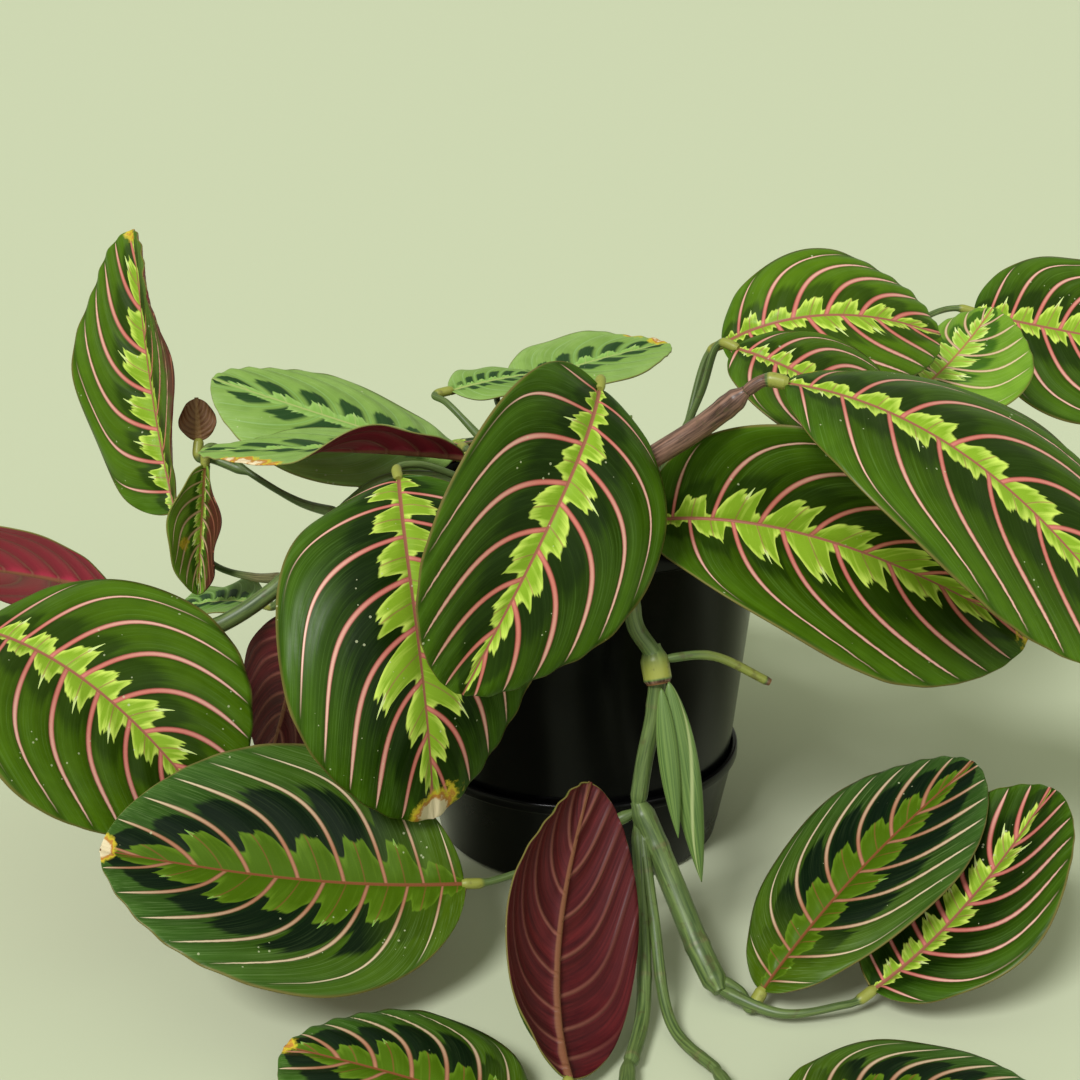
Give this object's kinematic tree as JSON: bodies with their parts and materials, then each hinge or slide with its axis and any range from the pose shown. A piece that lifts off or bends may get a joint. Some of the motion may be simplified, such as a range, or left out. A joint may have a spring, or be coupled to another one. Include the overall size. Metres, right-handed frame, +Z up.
{
  "type": "potted prayer plant",
  "caption": "Red-veined prayer plant with broad patterned leaves arching and trailing from a black nursery pot in a deep drip saucer.",
  "frame": {"origin": "middle of the drip saucer's flat underside, on the surface that the pot stands on", "axes": "+Z up the pot's axis, +X to the right and +Y away from the viewer as the picture shows the plant"},
  "size_m": [0.4658, 0.4069, 0.2013],
  "materials": {
    "pot_plastic": "satin black, lightly glossy",
    "potting_soil": "coarse damp bark and peat mix",
    "stem": "satin green with brown-purple sheaths",
    "leaf_red_veined": "satin, red-pink veins, lime centre band",
    "leaf_cream_veined": "satin, cream-pink veins, light green band",
    "leaf_pale": "matt pale green with dark spots by the midrib",
    "leaf_young": "satin light green",
    "leaf_underside": "satin purple-red with paler veins",
    "leaf_dry": "dry, matt brown"
  },
  "bodies": {
    "root": {"drip_saucer": "pot_plastic", "pot": "pot_plastic", "soil": "potting_soil", "stem_centre": "stem", "stem_right": "stem", "stem_left": "stem", "stem_front": "stem", "stem_back": "stem", "leaf_front_centre": "leaf_red_veined", "leaf_front_left": "leaf_red_veined", "leaf_right_wide": "leaf_red_veined", "leaf_right_over": "leaf_red_veined", "leaf_right_high": "leaf_red_veined", "leaf_right_inner": "leaf_red_veined", "leaf_right_far": "leaf_red_veined", "leaf_left_upright": "leaf_red_veined", "leaf_left_big": "leaf_red_veined", "leaf_low_far_right": "leaf_red_veined", "leaf_back_centre": "leaf_red_veined", "leaf_back_right": "leaf_red_veined", "leaf_back_left": "leaf_red_veined", "leaf_back_side": "leaf_red_veined", "leaf_back_high": "leaf_red_veined", "leaf_low_left": "leaf_cream_veined", "leaf_low_right": "leaf_cream_veined", "leaf_low_front": "leaf_cream_veined", "leaf_low_side": "leaf_cream_veined", "leaf_back_trailing": "leaf_cream_veined", "leaf_back_low": "leaf_cream_veined", "leaf_top_pale": "leaf_pale", "leaf_middle_pale": "leaf_pale", "leaf_middle_flat": "leaf_pale", "leaf_left_small": "leaf_pale", "leaf_right_hanging": "leaf_pale", "leaf_right_young": "leaf_young", "leaf_top_small": "leaf_young", "leaf_left_folded": "leaf_young", "leaf_crown": "leaf_young", "leaf_new_rolled": "leaf_young", "leaf_left_turned": "leaf_underside", "leaf_left_shaded": "leaf_underside", "leaf_low_turned": "leaf_underside", "leaf_left_dried": "leaf_dry"}
  },
  "joints": []
}
